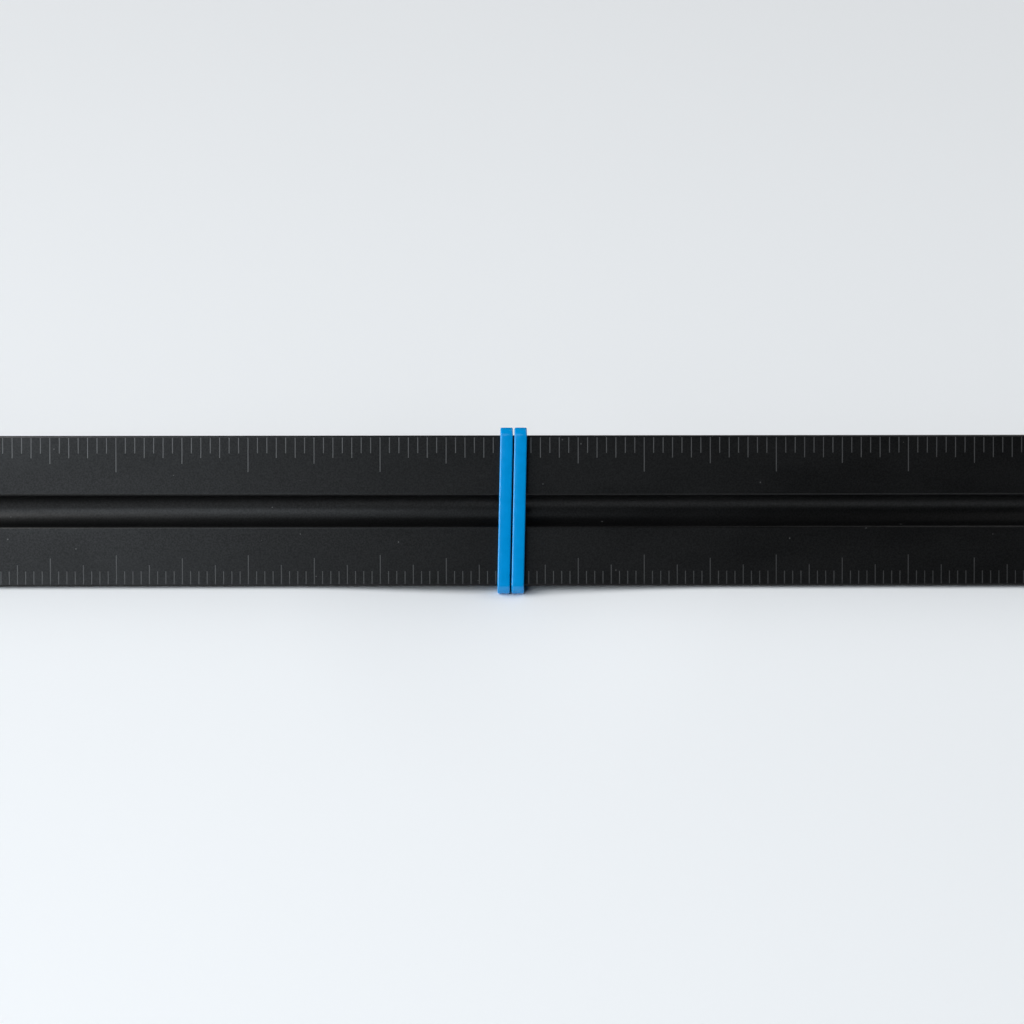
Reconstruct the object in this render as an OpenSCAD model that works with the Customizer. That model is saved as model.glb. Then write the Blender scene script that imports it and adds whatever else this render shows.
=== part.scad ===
// Triangular scale ruler with a rubber band wound round its middle.
//
// The bar is one solid extrusion of black anodised aluminium: an equilateral
// triangle with rounded edges and a round flute along each face. Each face is
// engraved along both of its edges, in parts of an inch.
// The band is one closed loop of rubber, wound twice. Its two turns lie side by
// side on the front and the underside, and cross over each other on the back.
//
// +X runs along the bar, -Y is the front and Z = 0 is the surface that it lies on.

/* [Bar] */
// Overall length of the bar
bar_l = 312; // [160:1:480]
// Width of a face from edge to edge
face_w = 29; // [25:0.5:40]
// Radius of the three working edges
edge_r = 0.4; // [0.2:0.05:1]
// Radius of the flute along the middle of each face
flute_r = 3.1; // [2.8:0.1:5]
// Depth of the flute
flute_d = 2.4; // [1:0.1:3.2]
// Radius of the flute's two lips
lip_r = 0.5; // [0.1:0.05:0.8]

/* [Engraved lines] */
// Least plain length beyond the first and the last line of an edge
end_margin = 3; // [1:0.5:20]
// Distance from a working edge to the start of its lines
line_inset = 0.4; // [0.2:0.05:1]
// Width of a line at the surface
line_w = 0.18; // [0.1:0.01:0.3]
// Depth of a line
line_d = 0.05; // [0.03:0.01:0.2]
// Lengths on the first edge of a face: short, middle, half-inch and inch lines
first_edge_l = [3.0, 3.9, 5.0, 6.6]; // [1:0.1:8]
// Lengths on the second edge of a face: short, middle, half-inch and inch lines
second_edge_l = [2.5, 3.7, 5.0, 5.6]; // [1:0.1:8]

/* [Band] */
// Width of the rubber strip
band_w = 2.4; // [1.5:0.1:6]
// Thickness of the rubber strip
band_t = 1.4; // [0.8:0.1:2.5]
// Space between the two turns where they lie side by side
turn_gap = 0.46; // [0.42:0.02:2]
// Space between the two turns where one crosses over the other
cross_gap = 0.46; // [0.42:0.02:1]
// How far a turn moves along the bar on its way up the front face
turn_lean = 0.6; // [0:0.1:2]
// Running clearance between the band and the bar
band_clear = 0.1; // [0.05:0.01:0.3]

/* [Hidden] */
$fn = 64;
inch = 25.4;

// Whole inches that find room along the bar
scale_inches = floor((bar_l - 2 * end_margin) / inch);

// Turn from one edge or face of the triangle to the next. Angles about the bar's
// axis start at the top edge and grow towards the back
third = 120;

// The rounded triangle: the distance between the centres of two edge roundings,
// and the distances of those centres and of the faces from the bar's axis
edge_pitch = face_w - 2 * edge_r;
edge_axis_d = edge_pitch / sqrt(3);
face_axis_d = edge_axis_d / 2 + edge_r;

// The bar lies on the band, so its axis is this high
axis_z = band_t + band_clear + face_axis_d;

// The faces in the order under, back, front: each is the under face turned by a
// third of a turn. For its first and second edge: [parts to the inch, first
// middle line counted from an inch line, parts from one middle line to the next]
FACE_DIVISIONS = [
    [[12, 3, 3], [8, 2, 2]],
    [[10, 5, 5], [20, 5, 5]],
    [[14, 3, 2], [16, 4, 4]],
];

// The band: the distance between its turns, and the height of the upper one at the crossing
turn_pitch = band_w + turn_gap;
cross_lift = band_t + cross_gap;
// Share of the back face over which the upper turn climbs, and again over which it comes down
climb_share = 0.27;
// Steps of the band's loft round a corner, and along the front, back and under faces
corner_steps = 8;
face_steps = [2, 24, 2];

function direction(angle) = [sin(angle), cos(angle)];
function unit(v) = v / norm(v);
function smooth(t) = let (s = min(max(t, 0), 1)) s * s * (3 - 2 * s);
function mix(a, b, t) = a + (b - a) * t;

// The rounded triangle, with one edge at the top
module rounded_triangle() {
    edges = [for (k = [0:2]) -third * k];
    for (a = edges)
        translate(edge_axis_d * direction(a)) circle(r = edge_r);
    polygon([for (a = edges, side = [1, -1])
        edge_axis_d * direction(a) + edge_r * direction(a + side * third / 2)]);
}

// One flute in the under face, with the lips rounded off beside it
module flute() {
    centre_z = -face_axis_d + flute_d - flute_r;
    lip_z = -face_axis_d + lip_r;
    lip_x = sqrt(pow(flute_r + lip_r, 2) - pow(lip_z - centre_z, 2));
    touch = [0, centre_z] + flute_r * unit([lip_x, lip_z - centre_z]);
    below = -face_axis_d - lip_r;
    translate([0, centre_z]) circle(r = flute_r);
    difference() {
        polygon([[-lip_x, below], [lip_x, below], [lip_x, lip_z],
                 touch, [-touch.x, touch.y], [-lip_x, lip_z]]);
        for (side = [-1, 1])
            translate([side * lip_x, lip_z]) circle(r = lip_r);
    }
}

// The cutter for one line of length l, along +Y from the origin, in a face that
// looks down: a V that keeps its slope as it rises clear of the surface
module line_cutter(l) {
    rise = line_d / 2;
    top_w = line_w * (line_d + rise) / line_d;
    rotate([-90, 0, 0])
        linear_extrude(height = l)
            polygon([[-top_w / 2, rise], [top_w / 2, rise], [0, -line_d]]);
}

// Which of the four lengths the line number i has on an edge with these divisions
function line_class(i, divisions) =
    let (parts = divisions[0],
         past = i % parts,
         from_inch = min(past, parts - past),
         from_middle = from_inch - divisions[1])
    from_inch == 0 ? 3
    : 2 * from_inch == parts ? 2
    : from_middle >= 0 && from_middle % divisions[2] == 0 ? 1
    : 0;

// All lines on one edge of the under face: side is -1 for its front edge and 1 for its back edge
module edge_lines(side, divisions, lengths) {
    start = face_w / 2 - line_inset;
    for (i = [0 : scale_inches * divisions[0]]) {
        l = lengths[line_class(i, divisions)];
        translate([i * inch / divisions[0] - scale_inches * inch / 2,
                   side < 0 ? -start : start - l,
                   -face_axis_d])
            line_cutter(l);
    }
}

module scale_bar() {
    color([0.07, 0.07, 0.075])
        translate([0, 0, axis_z])
            difference() {
                rotate([90, 0, 90])
                    linear_extrude(height = bar_l, center = true)
                        difference() {
                            rounded_triangle();
                            for (k = [0:2]) rotate(third * k) flute();
                        }
                for (k = [0:2]) rotate([third * k, 0, 0]) {
                    edge_lines(-1, FACE_DIVISIONS[k][0], first_edge_l);
                    edge_lines(1, FACE_DIVISIONS[k][1], second_edge_l);
                }
            }
}

// Stations of one turn, in order: up the front, over the top edge, down the back,
// round the back edge, along the underside and round the front edge.
// Each is [face or corner (0 to 5), share of the way along it]
STATIONS = [for (stage = [0:5])
    let (steps = stage % 2 == 0 ? face_steps[stage / 2] : corner_steps)
    for (i = [0 : steps - 1]) [stage, i / steps]];
// Edges and faces that the stations pass, as angles about the bar's axis
function edge_angle(stage) = third * (floor((stage + 1) / 2) - 1);
function face_angle(stage) = third * (floor(stage / 2) - 0.5);

// Outward direction of the band at a station, across the bar
function outward(station) = let (stage = station[0])
    stage % 2 == 0 ? face_angle(stage) : face_angle(stage) + third * station[1];

// Centre of the rounding that the band turns about at a station, or lies beside
function pivot(station) = let (stage = station[0], here = edge_axis_d * direction(edge_angle(stage)))
    stage % 2 == 1 ? here
    : mix(here, edge_axis_d * direction(edge_angle(stage) + third), station[1]);

// Place along the bar of a turn at a station: turn 0 starts on the left and turn 1 on the right
function along(turn, station) =
    let (stage = station[0],
         side = turn == 0 ? -1 : 1,
         start = side * turn_pitch / 2 - turn_lean / 2,
         top = start + turn_lean,
         end = -side * turn_pitch / 2 - turn_lean / 2)
    stage == 0 ? mix(start, top, station[1])
    : stage == 1 ? top
    : stage == 2 ? mix(top, end, smooth((station[1] - climb_share) / (1 - 2 * climb_share)))
    : end;

// Height of a turn above the one it crosses
function lift(turn, station) = turn == 0 || station[0] != 2 ? 0
    : cross_lift * smooth(min(station[1], 1 - station[1]) / climb_share);

// Middle of the strip's inner face at a station
function seat(turn, station) =
    let (p = pivot(station)
             + (edge_r + band_clear + lift(turn, station)) * direction(outward(station)))
    [along(turn, station), p.x, axis_z + p.y];

// The whole loop: inner middle points and outward directions of both turns
LOOP = [for (turn = [0, 1], s = STATIONS) [seat(turn, s), direction(outward(s))]];
LOOP_N = len(LOOP);

// Section of the strip at loop point i, square to its run: inner pair, then outer pair
function strip_section(i) =
    let (run = LOOP[(i + 1) % LOOP_N][0] - LOOP[(i + LOOP_N - 1) % LOOP_N][0],
         out = [0, LOOP[i][1].x, LOOP[i][1].y],
         across = unit(cross(run, out)),
         at = LOOP[i][0])
    [at - across * band_w / 2, at + across * band_w / 2,
     at + across * band_w / 2 + out * band_t, at - across * band_w / 2 + out * band_t];
SECTIONS = [for (i = [0 : LOOP_N - 1]) strip_section(i)];

// Least space between the two turns, on the corners and the middles of the sections
function outline(section) = [for (j = [0:3], t = [0, 0.25, 0.5, 0.75])
    mix(section[j], section[(j + 1) % 4], t)];
OUTLINES = [for (section = SECTIONS) outline(section)];
function least_gap() = min([for (i = [0 : LOOP_N / 2 - 1], k = [-corner_steps : corner_steps])
    let (j = (i + k + LOOP_N / 2 + LOOP_N) % LOOP_N)
    for (p = OUTLINES[i], q = OUTLINES[j]) norm(p - q)]);

module rubber_band() {
    echo(least_gap_between_turns = least_gap());
    color([0.03, 0.5, 0.84])
        polyhedron(
            points = [for (section = SECTIONS) each section],
            faces = [for (i = [0 : LOOP_N - 1], j = [0:3])
                let (here = 4 * i, next = 4 * ((i + 1) % LOOP_N), k = (j + 1) % 4)
                each [[here + j, here + k, next + k], [here + j, next + k, next + j]]]);
}

scale_bar();
rubber_band();
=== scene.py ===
"""The looks of a triangular scale ruler with a rubber band wound round its middle."""
from collections import namedtuple
from math import atan2, cos, pi, radians, sin, sqrt

import bmesh
import bpy
from bpy.props import FloatProperty, FloatVectorProperty, IntProperty, PointerProperty
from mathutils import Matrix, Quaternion, Vector


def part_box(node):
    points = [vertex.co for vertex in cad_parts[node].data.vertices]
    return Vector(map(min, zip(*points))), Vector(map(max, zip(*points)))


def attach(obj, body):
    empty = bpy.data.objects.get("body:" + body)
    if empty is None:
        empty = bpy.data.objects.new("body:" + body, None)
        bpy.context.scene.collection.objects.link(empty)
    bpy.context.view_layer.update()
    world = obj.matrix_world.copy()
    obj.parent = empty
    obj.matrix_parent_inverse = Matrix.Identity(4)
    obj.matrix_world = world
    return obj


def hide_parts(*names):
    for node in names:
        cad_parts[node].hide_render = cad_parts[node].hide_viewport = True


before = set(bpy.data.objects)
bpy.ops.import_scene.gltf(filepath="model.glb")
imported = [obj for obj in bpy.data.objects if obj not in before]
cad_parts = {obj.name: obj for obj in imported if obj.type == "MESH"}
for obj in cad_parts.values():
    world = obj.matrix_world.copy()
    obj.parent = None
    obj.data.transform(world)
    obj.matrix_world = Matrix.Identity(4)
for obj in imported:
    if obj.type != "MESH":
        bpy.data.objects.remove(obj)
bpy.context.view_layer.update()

bl_info = {
    "name": "Scale Ruler",
    "version": (1, 0, 0),
    "blender": (4, 5, 0),
    "location": "3D View > Sidebar > Scale Ruler",
    "description": "Builds a black triangular scale with engraved divisions and a wound rubber band",
    "category": "Object",
}

MM = 0.001
INCH = 25.4 * MM
THIRD = 2 * pi / 3
BAR_LOW, BAR_HIGH = (Vector(corner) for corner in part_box("scale_bar"))
BAND_LOW = Vector(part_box("rubber_band")[0])

# Each face is the under face turned by a third of a turn: under, back, front.
# For its first and second edge: parts to the inch, the first middle line counted
# from an inch line, and the parts from one middle line to the next.
FACE_DIVISIONS = (
    ((12, 3, 3), (8, 2, 2)),
    ((10, 5, 5), (20, 5, 5)),
    ((14, 3, 2), (16, 4, 4)),
)


# Settings that a user would change

class ScaleBarSettings(bpy.types.PropertyGroup):
    """Sizes and colours of the bar and its engraved lines"""
    length: FloatProperty(
        name="Length", description="Overall length of the bar",
        default=BAR_HIGH.x - BAR_LOW.x, unit="LENGTH")
    face_width: FloatProperty(
        name="Face width", description="Width of a face from edge to edge",
        default=BAR_HIGH.y - BAR_LOW.y, unit="LENGTH")
    edge_radius: FloatProperty(
        name="Edge radius", description="Radius of the three working edges",
        default=0.4 * MM, unit="LENGTH")
    flute_radius: FloatProperty(
        name="Flute radius", description="Radius of the flute along each face",
        default=3.1 * MM, unit="LENGTH")
    flute_depth: FloatProperty(
        name="Flute depth", description="Depth of the flute along each face",
        default=2.4 * MM, unit="LENGTH")
    lip_radius: FloatProperty(
        name="Lip radius", description="Radius of the flute's two lips",
        default=0.5 * MM, unit="LENGTH")
    end_chamfer: FloatProperty(
        name="End chamfer", description="Broken edge round the sawn ends",
        default=0.15 * MM, unit="LENGTH")
    inches: IntProperty(
        name="Inches", description="Whole inches engraved along the bar", default=12, min=1)
    line_inset: FloatProperty(
        name="Line inset", description="Distance from a working edge to the start of its lines",
        default=0.4 * MM, unit="LENGTH")
    line_width: FloatProperty(
        name="Line width", description="Width of an engraved line at the surface",
        default=0.18 * MM, unit="LENGTH")
    line_depth: FloatProperty(
        name="Line depth", description="Depth of an engraved line",
        default=0.05 * MM, unit="LENGTH")
    first_edge_lines: FloatVectorProperty(
        name="First edge lines", description="Short, middle, half-inch and inch lines of a first edge",
        size=4, default=(3.0 * MM, 3.9 * MM, 5.0 * MM, 6.6 * MM), unit="LENGTH")
    second_edge_lines: FloatVectorProperty(
        name="Second edge lines", description="Short, middle, half-inch and inch lines of a second edge",
        size=4, default=(2.5 * MM, 3.7 * MM, 5.0 * MM, 5.6 * MM), unit="LENGTH")
    anodised_colour: FloatVectorProperty(
        name="Anodised colour", description="Black of the anodised surface",
        subtype="COLOR", size=3, default=(0.0018, 0.0018, 0.0019))
    line_colour: FloatVectorProperty(
        name="Line colour", description="Grey of the engraved lines",
        subtype="COLOR", size=3, default=(0.025, 0.025, 0.025))
    # Painted shade: the second edges' lines are the first edges' line finish darkened in colour and shine,
    # standing in for the shade in their grooves.
    second_edge_painted_shade: FloatProperty(
        name="Second edge level", description="Brightness of a second edge's lines beside a first edge's",
        subtype="FACTOR", min=0, max=1, default=0.75)


class RubberBandSettings(bpy.types.PropertyGroup):
    """Sizes and colour of the band"""
    strip_width: FloatProperty(
        name="Strip width", description="Width of the rubber strip",
        default=2.4 * MM, unit="LENGTH")
    seat_gap: FloatProperty(
        name="Seat gap", description="Space left between the rubber and the bar",
        default=0.02 * MM, unit="LENGTH")
    turn_gap: FloatProperty(
        name="Turn gap", description="Space between the two turns, side by side",
        default=0.3 * MM, unit="LENGTH")
    cross_gap: FloatProperty(
        name="Crossing gap", description="Space between the two turns where they cross",
        default=0.03 * MM, unit="LENGTH")
    turn_lean: FloatProperty(
        name="Turn lean", description="How far a turn moves along the bar on its way up the front",
        default=0.6 * MM, unit="LENGTH")
    corner_radius: FloatProperty(
        name="Corner radius", description="Rounding of the strip's four long edges",
        default=0.25 * MM, unit="LENGTH")
    climb_share: FloatProperty(
        name="Climb share", description="Share of the back face over which the upper turn climbs",
        subtype="FACTOR", min=0, max=0.5, default=0.27)
    colour: FloatVectorProperty(
        name="Colour", description="Blue of the rubber",
        subtype="COLOR", size=3, default=(0.0, 0.268, 0.65))


class StageSettings(bpy.types.PropertyGroup):
    """Floor, lights and camera"""
    floor_colour: FloatVectorProperty(
        name="Floor colour", description="Colour of the pale floor",
        subtype="COLOR", size=3, default=(0.86, 0.88, 0.9))
    floor_height: FloatProperty(
        name="Floor height", description="Top of the soft floor, which the band presses into",
        default=1.1 * MM, unit="LENGTH")
    pressed_height: FloatProperty(
        name="Pressed height", description="Top of the soft floor at the band",
        default=0.0, unit="LENGTH")
    card_power: FloatProperty(
        name="Card power", description="Power of the soft light left of the camera, in watts", default=1.65)
    high_power: FloatProperty(
        name="High power", description="Power of the soft light above the card, in watts", default=0.82)
    window_power: FloatProperty(
        name="Window power", description="Power of the large window on the left, in watts", default=77.0)
    right_power: FloatProperty(
        name="Right power", description="Power of the soft light on the right, in watts", default=4.8)
    back_left_power: FloatProperty(
        name="Back left power", description="Power of the soft light behind on the left, in watts",
        default=5.9)
    back_right_power: FloatProperty(
        name="Back right power", description="Power of the soft light behind on the right, in watts",
        default=13.2)
    room_level: FloatProperty(
        name="Room level", description="Strength of the even light of the room", default=0.0)
    elevation: FloatProperty(
        name="Elevation", description="Camera's angle above the floor",
        subtype="ANGLE", default=radians(31))
    distance: FloatProperty(
        name="Distance", description="Camera's distance from the middle of the front face",
        unit="LENGTH", default=448 * MM)
    aim: FloatVectorProperty(
        name="Aim", description="Where the camera looks, along and up the front face from its middle",
        size=2, default=(-0.03 * MM, -0.25 * MM), unit="LENGTH")
    roll: FloatProperty(
        name="Roll", description="Camera's turn about its line of sight", subtype="ANGLE",
        default=radians(-0.07))
    view_angle: FloatProperty(
        name="View angle", description="Camera's angle of view", subtype="ANGLE", default=radians(24.8))


class ScaleRulerSettings(bpy.types.PropertyGroup):
    """All settings of the scale ruler"""
    bar: PointerProperty(type=ScaleBarSettings)
    band: PointerProperty(type=RubberBandSettings)
    stage: PointerProperty(type=StageSettings)


# Section of the bar, seen along X with Y to the right, about the bar's own axis

# Steps of the outline round a lip, a flute and a working edge
LIP_STEPS = 8
FLUTE_STEPS = 56
EDGE_STEPS = 20


class BarSection:
    """Distances that the bar, its lines and the band all take their places from"""

    def __init__(self, bar):
        self.edge_pitch = bar.face_width - 2 * bar.edge_radius
        self.edge_distance = self.edge_pitch / sqrt(3)
        self.face_distance = self.edge_distance / 2 + bar.edge_radius
        self.axis_height = BAR_LOW.z + self.face_distance


def turned(point, angle):
    """A point of the section, turned about the bar's axis."""
    return (point[0] * cos(angle) - point[1] * sin(angle),
            point[0] * sin(angle) + point[1] * cos(angle))


def arc(centre, radius, start, end, steps):
    """Points of an arc, with both of its ends."""
    angles = [start + (end - start) * i / steps for i in range(steps + 1)]
    return [(centre[0] + radius * cos(a), centre[1] + radius * sin(a)) for a in angles]


def bar_outline(bar):
    """The closed outline of the section: for each face its lips and flute, then the edge after it."""
    section = BarSection(bar)
    face = -section.face_distance
    flute = (0, face + bar.flute_depth - bar.flute_radius)
    lip_height = face + bar.lip_radius
    rise = lip_height - flute[1]
    lip_reach = sqrt((bar.flute_radius + bar.lip_radius) ** 2 - rise ** 2)
    slope = atan2(rise, lip_reach)
    points = []
    points += arc((-lip_reach, lip_height), bar.lip_radius, -pi / 2, -slope, LIP_STEPS)
    points += arc(flute, bar.flute_radius, pi - slope, slope, FLUTE_STEPS)[1:-1]
    points += arc((lip_reach, lip_height), bar.lip_radius, slope - pi, -pi / 2, LIP_STEPS)
    edge = (section.edge_pitch / 2, face + bar.edge_radius)
    points += arc(edge, bar.edge_radius, -pi / 2, THIRD - pi / 2, EDGE_STEPS)
    return [turned(point, k * THIRD) for k in range(3) for point in points]


# Meshes

def new_object(name, mesh):
    """An object at the origin in the scene."""
    made = bpy.data.objects.new(name, mesh)
    bpy.context.scene.collection.objects.link(made)
    return made


def bar_blank(bar):
    """The plain extruded bar with broken edges round its ends, before its lines are cut."""
    section = BarSection(bar)
    outline = bar_outline(bar)
    shrink = 1 - bar.end_chamfer / section.face_distance
    half = bar.length / 2
    rings = ((-half, shrink), (-half + bar.end_chamfer, 1), (half - bar.end_chamfer, 1), (half, shrink))
    made = bmesh.new()
    loops = [[made.verts.new((x, y * size, section.axis_height + z * size)) for y, z in outline]
             for x, size in rings]
    count = len(outline)
    for here, there in zip(loops, loops[1:]):
        for i in range(count):
            j = (i + 1) % count
            made.faces.new((here[i], here[j], there[j], there[i]))
    made.faces.new(loops[0][::-1])
    made.faces.new(loops[-1])
    bmesh.ops.recalc_face_normals(made, faces=made.faces)
    mesh = bpy.data.meshes.new("scale_bar_blank")
    made.to_mesh(mesh)
    made.free()
    return mesh


# Cosine from which a face counts as square to a land's direction, and the most that
# the normal of a face may lean along the bar for it to count as one of the bar's sides
SQUARE_COSINE = 0.99999
SIDE_LEAN = 0.001


def shade_bar(mesh):
    """Smooth shading on the rounded faces; lands, ends and engraved lines stay flat."""
    lands = [Vector((0, *turned((0, -1), k * THIRD))) for k in range(3)]
    for face in mesh.polygons:
        on_land = any(face.normal.dot(land) > SQUARE_COSINE for land in lands)
        on_side = abs(face.normal.x) < SIDE_LEAN
        face.use_smooth = on_side and not on_land


# Node trees

def add_node(tree, kind, **settings):
    """A new node with its settings."""
    made = tree.nodes.new(kind)
    for name, value in settings.items():
        setattr(made, name, value)
    return made


def feed(tree, socket, source):
    """Links a socket to another one, or gives it a constant."""
    if isinstance(source, bpy.types.NodeSocket):
        tree.links.new(source, socket)
    else:
        socket.default_value = source


def maths(tree, operation, *sources):
    """A Math node on sockets or numbers."""
    made = add_node(tree, "ShaderNodeMath", operation=operation)
    for socket, source in zip(made.inputs, sources):
        feed(tree, socket, source)
    return made.outputs[0]


def vector(tree, x=0.0, y=0.0, z=0.0):
    """A Combine XYZ node on sockets or numbers."""
    made = add_node(tree, "ShaderNodeCombineXYZ")
    for socket, source in zip(made.inputs, (x, y, z)):
        feed(tree, socket, source)
    return made.outputs[0]


def choose(tree, test, when_true, when_false):
    """One of two numbers."""
    made = add_node(tree, "GeometryNodeSwitch", input_type="FLOAT")
    feed(tree, made.inputs["Switch"], test)
    feed(tree, made.inputs["True"], when_true)
    feed(tree, made.inputs["False"], when_false)
    return made.outputs[0]


LINE_INPUTS = (
    ("Inches", "NodeSocketInt"), ("Parts", "NodeSocketInt"),
    ("First middle", "NodeSocketInt"), ("Middle step", "NodeSocketInt"),
    ("Short", "NodeSocketFloat"), ("Middle", "NodeSocketFloat"),
    ("Half inch", "NodeSocketFloat"), ("Inch", "NodeSocketFloat"),
    ("Line width", "NodeSocketFloat"), ("Line depth", "NodeSocketFloat"),
    ("Line start", "NodeSocketFloat"), ("Side", "NodeSocketFloat"),
    ("Face turn", "NodeSocketFloat"), ("Face distance", "NodeSocketFloat"),
    ("Axis height", "NodeSocketFloat"), ("Line finish", "NodeSocketMaterial"),
)


# Counts of parts are whole numbers, so half a part is enough to tell them apart
HALF_PART = 0.5


def line_length(tree, given):
    """Length of each line, by its distance in parts from the nearest inch line."""
    index = add_node(tree, "GeometryNodeInputIndex").outputs[0]
    past = maths(tree, "MODULO", index, given["Parts"])
    parts_from_inch = maths(tree, "MINIMUM", past, maths(tree, "SUBTRACT", given["Parts"], past))
    on_inch = maths(tree, "LESS_THAN", parts_from_inch, HALF_PART)
    doubled = maths(tree, "MULTIPLY", parts_from_inch, 2)
    on_half = maths(tree, "COMPARE", doubled, given["Parts"], HALF_PART)
    past_middle = maths(tree, "SUBTRACT", parts_from_inch, given["First middle"])
    past_step = maths(tree, "MODULO", past_middle, given["Middle step"])
    in_step = maths(tree, "COMPARE", past_step, 0, HALF_PART)
    from_first = maths(tree, "GREATER_THAN", past_middle, -HALF_PART)
    on_middle = maths(tree, "MULTIPLY", in_step, from_first)
    length = choose(tree, on_middle, given["Middle"], given["Short"])
    length = choose(tree, on_half, given["Half inch"], length)
    return choose(tree, on_inch, given["Inch"], length)


def line_cutter(tree, given):
    """A box one unit long in +Y, that reaches to the line's depth on either side of the surface."""
    box = add_node(tree, "GeometryNodeMeshCube")
    feed(tree, box.inputs["Size"],
         vector(tree, given["Line width"], 1.0, maths(tree, "MULTIPLY", given["Line depth"], 2)))
    place = add_node(tree, "GeometryNodeTransform")
    feed(tree, place.inputs["Geometry"], box.outputs["Mesh"])
    feed(tree, place.inputs["Translation"], (0, 0.5, 0))
    return place.outputs[0]


def engraving_tree():
    """Cuts the lines of one edge into the bar: box-shaped cutters along the edge, taken off the bar."""
    tree = bpy.data.node_groups.new("engraved_lines", "GeometryNodeTree")
    tree.interface.new_socket("Bar", in_out="INPUT", socket_type="NodeSocketGeometry")
    for name, kind in LINE_INPUTS:
        tree.interface.new_socket(name, in_out="INPUT", socket_type=kind)
    tree.interface.new_socket("Engraved bar", in_out="OUTPUT", socket_type="NodeSocketGeometry")
    given = add_node(tree, "NodeGroupInput").outputs

    spacing = maths(tree, "DIVIDE", INCH, given["Parts"])
    reach = maths(tree, "MULTIPLY", given["Inches"], INCH / 2)
    row = add_node(tree, "GeometryNodeMeshLine")
    steps = maths(tree, "MULTIPLY", given["Inches"], given["Parts"])
    feed(tree, row.inputs["Count"], maths(tree, "ADD", steps, 1))
    feed(tree, row.inputs["Start Location"], vector(tree, x=maths(tree, "MULTIPLY", reach, -1)))
    feed(tree, row.inputs["Offset"], vector(tree, x=spacing))

    length = line_length(tree, given)
    on_far_side = maths(tree, "GREATER_THAN", given["Side"], 0)
    back = maths(tree, "MULTIPLY", on_far_side, length)
    start = maths(tree, "SUBTRACT", maths(tree, "MULTIPLY", given["Side"], given["Line start"]), back)
    shift = add_node(tree, "GeometryNodeSetPosition")
    feed(tree, shift.inputs["Geometry"], row.outputs["Mesh"])
    feed(tree, shift.inputs["Offset"],
         vector(tree, y=start, z=maths(tree, "MULTIPLY", given["Face distance"], -1)))

    lines = add_node(tree, "GeometryNodeInstanceOnPoints")
    feed(tree, lines.inputs["Points"], shift.outputs[0])
    feed(tree, lines.inputs["Instance"], line_cutter(tree, given))
    feed(tree, lines.inputs["Scale"], vector(tree, 1.0, length, 1.0))
    whole = add_node(tree, "GeometryNodeRealizeInstances")
    feed(tree, whole.inputs[0], lines.outputs[0])
    place = add_node(tree, "GeometryNodeTransform")
    feed(tree, place.inputs["Geometry"], whole.outputs[0])
    feed(tree, place.inputs["Rotation"], vector(tree, x=given["Face turn"]))
    feed(tree, place.inputs["Translation"], vector(tree, z=given["Axis height"]))
    finish = add_node(tree, "GeometryNodeSetMaterial")
    feed(tree, finish.inputs["Geometry"], place.outputs[0])
    feed(tree, finish.inputs["Material"], given["Line finish"])

    cut = add_node(tree, "GeometryNodeMeshBoolean", operation="DIFFERENCE", solver="MANIFOLD")
    feed(tree, cut.inputs["Mesh 1"], given["Bar"])
    feed(tree, cut.inputs["Mesh 2"], finish.outputs[0])
    result = add_node(tree, "NodeGroupOutput")
    feed(tree, result.inputs[0], cut.outputs["Mesh"])
    return tree


def engrave(piece, tree, values):
    """Adds the engraving of one edge as a modifier, with its inputs set by identifier."""
    modifier = piece.modifiers.new("engraved_lines", "NODES")
    modifier.node_group = tree
    for item in tree.interface.items_tree:
        if item.in_out == "INPUT" and item.name in values:
            modifier[item.identifier] = values[item.name]


def made_plain(piece):
    """Turns a piece and its modifiers into a plain mesh."""
    bpy.context.view_layer.update()
    graph = bpy.context.evaluated_depsgraph_get()
    mesh = bpy.data.meshes.new_from_object(piece.evaluated_get(graph))
    piece.modifiers.clear()
    piece.data = mesh
    return mesh


# Materials

# Span that holds most values of a noise pattern
MOST_NOISE = (0.3, 0.7)
# Places of the Mix node's colour sockets, whose names its other sockets have too
MIX_FIRST, MIX_SECOND, MIX_RESULT = 6, 7, 2
# Share of a speck's radius over which it is at its full strength
SPECK_CORE = 0.6
DUST_COLOUR = (0.16, 0.16, 0.16)


def new_material(name):
    """A material, with its node tree, its shader and its texture coordinates."""
    material = bpy.data.materials.new(name)
    material.use_nodes = True
    tree = material.node_tree
    shader = tree.nodes["Principled BSDF"]
    place = add_node(tree, "ShaderNodeTexCoord")
    return material, tree, shader, place


def noise(tree, place, stretch, detail=2.0, roughness=0.5):
    """A noise pattern with one cell to each given length along X, Y and Z."""
    mapping = add_node(tree, "ShaderNodeMapping")
    feed(tree, mapping.inputs["Vector"], place)
    feed(tree, mapping.inputs["Scale"], [1 / length for length in stretch])
    made = add_node(tree, "ShaderNodeTexNoise")
    feed(tree, made.inputs["Vector"], mapping.outputs[0])
    feed(tree, made.inputs["Scale"], 1.0)
    feed(tree, made.inputs["Detail"], detail)
    feed(tree, made.inputs["Roughness"], roughness)
    return made.outputs["Fac"]


def ramp(tree, value, low, high, at_low=0.0, at_high=1.0):
    """A value's span from low to high, spread smoothly over another span."""
    made = add_node(tree, "ShaderNodeMapRange", interpolation_type="SMOOTHSTEP")
    feed(tree, made.inputs["Value"], value)
    feed(tree, made.inputs["From Min"], low)
    feed(tree, made.inputs["From Max"], high)
    feed(tree, made.inputs["To Min"], at_low)
    feed(tree, made.inputs["To Max"], at_high)
    return made.outputs["Result"]


def blended(tree, share, first, second):
    """A mix of two colours."""
    made = add_node(tree, "ShaderNodeMix", data_type="RGBA")
    feed(tree, made.inputs["Factor"], share)
    feed(tree, made.inputs[MIX_FIRST], first)
    feed(tree, made.inputs[MIX_SECOND], second)
    return made.outputs[MIX_RESULT]


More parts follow.
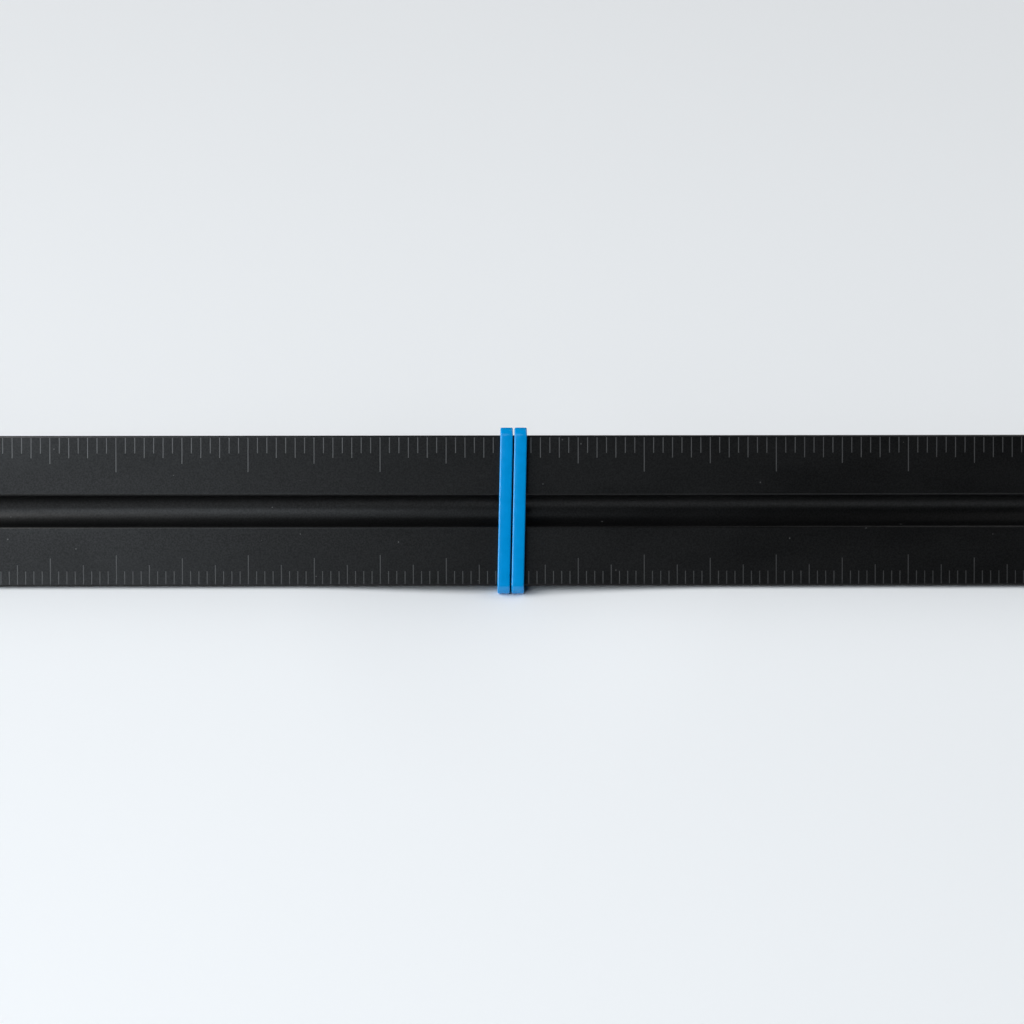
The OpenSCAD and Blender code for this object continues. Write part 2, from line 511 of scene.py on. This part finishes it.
def bumped(tree, height, distance, strength=1.0, normal=None):
    """A bump from a height pattern."""
    made = add_node(tree, "ShaderNodeBump")
    feed(tree, made.inputs["Height"], height)
    feed(tree, made.inputs["Distance"], distance)
    feed(tree, made.inputs["Strength"], strength)
    if normal is not None:
        feed(tree, made.inputs["Normal"], normal)
    return made.outputs[0]


def opaque(colour, level=1.0):
    """A colour with its alpha, darkened or lightened by a level."""
    return (*(level * channel for channel in colour), 1.0)


def specks(tree, place, spacing, radius):
    """Share of scattered round specks, where balls of a given spacing and radius meet the surface."""
    cells = add_node(tree, "ShaderNodeTexVoronoi")
    feed(tree, cells.inputs["Vector"], place)
    feed(tree, cells.inputs["Scale"], 1 / spacing)
    edge = radius / spacing
    return ramp(tree, cells.outputs["Distance"], SPECK_CORE * edge, edge, 1.0, 0.0)


def satin_black(bar):
    """Satin black anodising: a fine even grain, soft smudges and a few specks of dust."""
    material, tree, shader, place = new_material("satin_black")
    at = place.outputs["Object"]
    grain = noise(tree, at, (0.3 * MM,) * 3, detail=2.0)
    handling = noise(tree, at, (22 * MM, 9 * MM, 9 * MM), detail=3.0)
    dust = maths(tree, "MULTIPLY", specks(tree, at, 4 * MM, 0.16 * MM), 0.5)
    tone = blended(tree, grain, opaque(bar.anodised_colour, 0.7), opaque(bar.anodised_colour, 1.3))
    feed(tree, shader.inputs["Base Color"], blended(tree, dust, tone, opaque(DUST_COLOUR)))
    feed(tree, shader.inputs["Specular IOR Level"], ramp(tree, grain, *MOST_NOISE, 0.24, 0.36))
    feed(tree, shader.inputs["Roughness"], ramp(tree, handling, *MOST_NOISE, 0.37, 0.43))
    feed(tree, shader.inputs["Normal"], bumped(tree, grain, 0.004 * MM, 0.5))
    return material


def engraved_line(name, bar, level):
    """Bare grey floor of the engraved lines at a level of brightness, a little uneven along each line; a
    level below one is painted shade on its colour and shine.
    """
    material, tree, shader, place = new_material(name)
    patchy = noise(tree, place.outputs["Object"], (0.5 * MM,) * 3, detail=2.0)
    dark = opaque(bar.line_colour, 0.8 * level)
    light = opaque(bar.line_colour, 1.15 * level)
    feed(tree, shader.inputs["Base Color"], blended(tree, ramp(tree, patchy, *MOST_NOISE), dark, light))
    feed(tree, shader.inputs["Roughness"], ramp(tree, patchy, *MOST_NOISE, 0.45, 0.55))
    feed(tree, shader.inputs["Specular IOR Level"], level)
    feed(tree, shader.inputs["IOR"], 1.65)
    return material


def smooth_blue(band):
    """Smooth rubber with a slight shine, faint lines along the strip and a barely uneven tone."""
    material, tree, shader, place = new_material("smooth_blue")
    along = place.outputs["UV"]
    lines = noise(tree, along, (14 * MM, 0.16 * MM, 1.0), detail=2.0)
    bloom = noise(tree, place.outputs["Object"], (1.6 * MM,) * 3, detail=1.0)
    pores = noise(tree, place.outputs["Object"], (0.08 * MM,) * 3, detail=1.0)
    tone = blended(tree, ramp(tree, bloom, *MOST_NOISE),
                   opaque(band.colour, 0.97), opaque(band.colour, 1.03))
    streak = ramp(tree, lines, 0.35, 0.65, 0.0, 0.08)
    feed(tree, shader.inputs["Base Color"], blended(tree, streak, tone, opaque(band.colour, 0.75)))
    feed(tree, shader.inputs["Roughness"], ramp(tree, bloom, *MOST_NOISE, 0.14, 0.17))
    feed(tree, shader.inputs["Specular IOR Level"], 0.5)
    fine = bumped(tree, pores, 0.003 * MM, 0.5)
    feed(tree, shader.inputs["Normal"], bumped(tree, lines, 0.006 * MM, 0.6, fine))
    return material


def pale_floor(stage):
    """Pale matt surface with a barely uneven tone."""
    material, tree, shader, place = new_material("pale_floor")
    cloud = noise(tree, place.outputs["Object"], (180 * MM,) * 3, detail=2.0)
    feed(tree, shader.inputs["Base Color"],
         blended(tree, cloud, opaque(stage.floor_colour, 0.99), opaque(stage.floor_colour, 1.01)))
    feed(tree, shader.inputs["Roughness"], 0.8)
    feed(tree, shader.inputs["Specular IOR Level"], 0.2)
    return material


# The band's run: up the front, over the top edge, down the back, round the back
# edge, along the underside and round the front edge, and then the same again

# Steps of the run round an edge, and along the front, back and under faces
CORNER_STEPS = 20
FACE_STEPS = (16, 96, 16)
# Steps of the rounding along each of the strip's four long edges
STRIP_CORNER_STEPS = 5
# Angles about the bar's axis, counted from the back upwards: where the front face
# looks, and where the front edge lies
FRONT_FACE = radians(150)
FRONT_EDGE = radians(210)


def smooth(share):
    """Eases a share from 0 to 1."""
    share = min(max(share, 0.0), 1.0)
    return share * share * (3 - 2 * share)


def mix(first, second, share):
    """A value or point between two others."""
    return first + (second - first) * share


class BandRun:
    """The middle line of the strip's inner face, and its outward directions"""

    def __init__(self, bar, band):
        self.section = BarSection(bar)
        self.inner_radius = bar.edge_radius + band.seat_gap
        self.thickness = BAR_LOW.z - BAND_LOW.z - band.seat_gap
        self.pitch = band.strip_width + band.turn_gap
        self.lean = band.turn_lean
        self.lift = self.thickness + band.cross_gap
        self.climb = band.climb_share
        self.points = []
        self.outwards = []
        for turn in (0, 1):
            for stage in range(6):
                self.add_stage(turn, stage)

    def add_stage(self, turn, stage):
        """Adds the points of one turn along a face, or round the corner after it."""
        on_face = stage % 2 == 0
        steps = FACE_STEPS[stage // 2] if on_face else CORNER_STEPS
        face = FRONT_FACE - THIRD * (stage // 2)
        for i in range(steps):
            share = i / steps
            outward = face if on_face else face - THIRD * share
            self.add_point(turn, stage, share, outward)

    def edge_centre(self, stage):
        """Centre of the rounded edge that a stage starts from, or turns about."""
        angle = FRONT_EDGE - THIRD * ((stage + 1) // 2)
        return self.section.edge_distance * Vector((cos(angle), sin(angle)))

    def add_point(self, turn, stage, share, outward):
        """Adds one point of the run."""
        pivot = self.edge_centre(stage)
        if stage % 2 == 0:
            pivot = mix(pivot, self.edge_centre(stage + 1), share)
        away = Vector((cos(outward), sin(outward)))
        place = pivot + (self.inner_radius + self.height(turn, stage, share)) * away
        self.points.append(Vector((self.along(turn, stage, share), place.x,
                                   self.section.axis_height + place.y)))
        self.outwards.append(Vector((0, away.x, away.y)))

    def along(self, turn, stage, share):
        """Place along the bar: the first turn starts on the left, and they change sides on the back."""
        side = -1 if turn == 0 else 1
        start = side * self.pitch / 2 - self.lean / 2
        top = start + self.lean
        end = -side * self.pitch / 2 - self.lean / 2
        if stage == 0:
            return mix(start, top, share)
        if stage == 1:
            return top
        if stage == 2:
            return mix(top, end, smooth((share - self.climb) / (1 - 2 * self.climb)))
        return end

    def height(self, turn, stage, share):
        """Height of the second turn above the first where they cross."""
        if turn == 0 or stage != 2:
            return 0.0
        return self.lift * smooth(min(share, 1 - share) / self.climb)


def strip_outline(width, thickness, radius):
    """Rounded section of the strip: distance across it, and height above its inner face."""
    half = width / 2 - radius
    corners = ((half, radius, -pi / 2), (half, thickness - radius, 0),
               (-half, thickness - radius, pi / 2), (-half, radius, pi))
    return [point for y, z, start in corners
            for point in arc((y, z), radius, start, start + pi / 2, STRIP_CORNER_STEPS)]


def band_mesh(bar, band):
    """The strip swept along its closed run, with a UV map in metres along and across it."""
    run = BandRun(bar, band)
    outline = strip_outline(band.strip_width, run.thickness, band.corner_radius)
    count = len(run.points)
    made = bmesh.new()
    rings = []
    for i in range(count):
        ahead = run.points[(i + 1) % count] - run.points[i - 1]
        across = ahead.cross(run.outwards[i]).normalized()
        rings.append([made.verts.new(run.points[i] + across * y + run.outwards[i] * z) for y, z in outline])
    uv = made.loops.layers.uv.new("strip")
    travelled = 0.0
    for i in range(count):
        here, there = rings[i], rings[(i + 1) % count]
        step = (run.points[(i + 1) % count] - run.points[i]).length
        for j in range(len(outline)):
            k = (j + 1) % len(outline)
            face = made.faces.new((here[j], here[k], there[k], there[j]))
            face.smooth = True
            corners = ((0, outline[j]), (0, outline[k]), (step, outline[k]), (step, outline[j]))
            for loop, (further, spot) in zip(face.loops, corners):
                loop[uv].uv = (travelled + further, spot[0] + spot[1])
        travelled += step
    bmesh.ops.recalc_face_normals(made, faces=made.faces)
    mesh = bpy.data.meshes.new("rubber_band_visual")
    made.to_mesh(mesh)
    made.free()
    return mesh


# Operators

class SCALERULER_OT_build_bar(bpy.types.Operator):
    """Builds the fluted bar and engraves the lines of its six edges"""
    bl_idname = "scale_ruler.build_bar"
    bl_label = "Build scale bar"

    def execute(self, context):
        bar = context.scene.scale_ruler.bar
        section = BarSection(bar)
        piece = new_object("engraved_scale_bar", bar_blank(bar))
        piece.data.materials.append(satin_black(bar))
        first_finish = engraved_line("bright_line", bar, 1.0)
        # The second edges' lines take a darker copy of the line finish, as painted shade.
        painted_shade_finish = engraved_line("painted_shade_line", bar, bar.second_edge_painted_shade)
        tree = engraving_tree()
        for k, edges in enumerate(FACE_DIVISIONS):
            for side, divisions, lengths, line_finish in (
                    (-1.0, edges[0], bar.first_edge_lines, first_finish),
                    (1.0, edges[1], bar.second_edge_lines, painted_shade_finish)):
                engrave(piece, tree, {
                    "Inches": bar.inches, "Parts": divisions[0],
                    "First middle": divisions[1], "Middle step": divisions[2],
                    "Short": lengths[0], "Middle": lengths[1],
                    "Half inch": lengths[2], "Inch": lengths[3],
                    "Line width": bar.line_width, "Line depth": bar.line_depth,
                    "Line start": bar.face_width / 2 - bar.line_inset, "Side": side,
                    "Face turn": k * THIRD, "Face distance": section.face_distance,
                    "Axis height": section.axis_height, "Line finish": line_finish,
                })
        mesh = made_plain(piece)
        # The bar's own finish and the finishes of both kinds of lines
        if len(mesh.materials) < 3:
            raise RuntimeError("the bar's edges weren't all engraved")
        shade_bar(mesh)
        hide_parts("scale_bar")
        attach(piece, "bar")
        return {"FINISHED"}


class SCALERULER_OT_build_band(bpy.types.Operator):
    """Builds the rubber band, wound twice round the bar"""
    bl_idname = "scale_ruler.build_band"
    bl_label = "Build rubber band"

    def execute(self, context):
        settings = context.scene.scale_ruler
        piece = new_object("wound_rubber_band", band_mesh(settings.bar, settings.band))
        piece.data.materials.append(smooth_blue(settings.band))
        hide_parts("rubber_band")
        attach(piece, "band")
        return {"FINISHED"}


FLOOR_SIZE = 8.0
# The patch of soft floor that gives way round the band: its reach along and
# across the bar, and the steps of its grid either way
PRESSED_REACH = (45 * MM, 80 * MM)
PRESSED_STEPS = 30

# Colours of the lights, and of the room's even light
WHITE_LIGHT = (1.0, 1.0, 1.0)
COOL_LIGHT = (0.9, 0.98, 1.05)
ROOM_LIGHT = (0.92, 0.96, 1.0)

# A soft light: its angle to the right of the front and its angle above the floor,
# and its distance from the origin, its width and its height in metres
SoftLight = namedtuple("SoftLight", "turn elevation distance width height")
CARD_LIGHT = SoftLight(radians(-30), radians(26.5), distance=0.75, width=0.36, height=0.42)
HIGH_LIGHT = SoftLight(radians(-30), radians(58), distance=0.9, width=0.55, height=0.5)
WINDOW_LIGHT = SoftLight(radians(-78), radians(26), distance=2.6, width=1.8, height=2.1)
RIGHT_LIGHT = SoftLight(radians(85), radians(35), distance=2.0, width=1.4, height=1.2)
BACK_LEFT_LIGHT = SoftLight(radians(-125), radians(45), distance=2.0, width=1.6, height=1.4)
BACK_RIGHT_LIGHT = SoftLight(radians(130), radians(45), distance=2.0, width=1.6, height=1.4)


class SCALERULER_OT_build_stage(bpy.types.Operator):
    """Sets up the floor, the soft lights and the camera"""
    bl_idname = "scale_ruler.build_stage"
    bl_label = "Build stage"

    def execute(self, context):
        settings = context.scene.scale_ruler
        stage = settings.stage
        self.add_floor(stage)
        self.add_light("card_light", stage.card_power, CARD_LIGHT, COOL_LIGHT)
        self.add_light("high_light", stage.high_power, HIGH_LIGHT, COOL_LIGHT)
        self.add_light("window_light", stage.window_power, WINDOW_LIGHT)
        self.add_light("right_light", stage.right_power, RIGHT_LIGHT)
        self.add_light("back_left_light", stage.back_left_power, BACK_LEFT_LIGHT)
        self.add_light("back_right_light", stage.back_right_power, BACK_RIGHT_LIGHT)
        self.set_world(context.scene, stage)
        self.add_camera(context.scene, settings)
        context.scene.view_settings.view_transform = "Standard"
        return {"FINISHED"}

    def add_floor(self, stage):
        """Adds the floor as a grid, which is pressed down round the band."""
        columns, rows = (self.grid_lines(reach) for reach in PRESSED_REACH)
        made = bmesh.new()
        corners = [[made.verts.new((x, y, self.floor_level(stage, x, y))) for y in rows] for x in columns]
        for here, there in zip(corners, corners[1:]):
            for j in range(len(rows) - 1):
                face = made.faces.new((here[j], there[j], there[j + 1], here[j + 1]))
                face.smooth = True
        mesh = bpy.data.meshes.new("floor")
        made.to_mesh(mesh)
        made.free()
        mesh.materials.append(pale_floor(stage))
        new_object("floor", mesh)

    def grid_lines(self, reach):
        """Places of the floor's grid lines: close together on the pressed patch, then the far edges."""
        half = FLOOR_SIZE / 2
        close = [reach * (2 * i / PRESSED_STEPS - 1) for i in range(PRESSED_STEPS + 1)]
        return [-half, *close, half]

    def floor_level(self, stage, x, y):
        """Height of the soft floor, which is lowest under the band."""
        away = sqrt((x / PRESSED_REACH[0]) ** 2 + (y / PRESSED_REACH[1]) ** 2)
        return mix(stage.pressed_height, stage.floor_height, smooth(away))

    def add_light(self, name, power, form, colour=WHITE_LIGHT):
        """Adds an area light that faces the origin and that the camera doesn't see."""
        light = bpy.data.lights.new(name, "AREA")
        light.energy = power
        light.color = colour
        light.shape = "RECTANGLE"
        light.size = form.width
        light.size_y = form.height
        made = bpy.data.objects.new(name, light)
        along_floor = cos(form.elevation)
        away = Vector((sin(form.turn) * along_floor, -cos(form.turn) * along_floor, sin(form.elevation)))
        made.location = form.distance * away
        made.rotation_euler = (-away).to_track_quat("-Z", "Y").to_euler()
        made.visible_camera = False
        bpy.context.scene.collection.objects.link(made)

    def set_world(self, scene, stage):
        """Gives the scene a world of its own, with the even light of the room."""
        world = bpy.data.worlds.new("soft_room")
        world.use_nodes = True
        tree = world.node_tree
        background = tree.nodes["Background"]
        feed(tree, background.inputs["Color"], opaque(ROOM_LIGHT))
        feed(tree, background.inputs["Strength"], stage.room_level)
        scene.world = world

    def add_camera(self, scene, settings):
        """Adds the camera in front of the bar, aimed near the middle of its front face."""
        section = BarSection(settings.bar)
        stage = settings.stage
        along, up = stage.aim
        front = turned((-up, -section.face_distance), 2 * THIRD)
        target = Vector((along, front[0], section.axis_height + front[1]))
        away = Vector((0, -cos(stage.elevation), sin(stage.elevation)))
        data = bpy.data.cameras.new("camera")
        data.sensor_fit = "HORIZONTAL"
        data.angle = stage.view_angle
        data.clip_start = 10 * MM
        camera = bpy.data.objects.new("camera", data)
        camera.location = target + stage.distance * away
        upright = (-away).to_track_quat("-Z", "Y")
        camera.rotation_euler = (upright @ Quaternion((0, 0, 1), stage.roll)).to_euler()
        scene.collection.objects.link(camera)
        scene.camera = camera


class SCALERULER_PT_panel(bpy.types.Panel):
    """Settings of the scale ruler and the buttons that build it"""
    bl_idname = "SCALERULER_PT_panel"
    bl_label = "Scale Ruler"
    bl_space_type = "VIEW_3D"
    bl_region_type = "UI"
    bl_category = "Scale Ruler"

    def draw(self, context):
        settings = context.scene.scale_ruler
        for group, operator in ((settings.bar, SCALERULER_OT_build_bar),
                                (settings.band, SCALERULER_OT_build_band),
                                (settings.stage, SCALERULER_OT_build_stage)):
            box = self.layout.box()
            for name in group.__annotations__:
                box.prop(group, name)
            box.operator(operator.bl_idname)


CLASSES = (
    ScaleBarSettings, RubberBandSettings, StageSettings, ScaleRulerSettings,
    SCALERULER_OT_build_bar, SCALERULER_OT_build_band, SCALERULER_OT_build_stage,
    SCALERULER_PT_panel,
)


def register():
    """Registers the classes and the scene's settings."""
    for cls in CLASSES:
        bpy.utils.register_class(cls)
    bpy.types.Scene.scale_ruler = PointerProperty(type=ScaleRulerSettings)


def unregister():
    """Removes what register added."""
    del bpy.types.Scene.scale_ruler
    for cls in reversed(CLASSES):
        bpy.utils.unregister_class(cls)


def main():
    """Builds the ruler and its stage."""
    register()
    bpy.ops.scale_ruler.build_stage()
    bpy.ops.scale_ruler.build_bar()
    bpy.ops.scale_ruler.build_band()


if __name__ == "__main__":
    main()
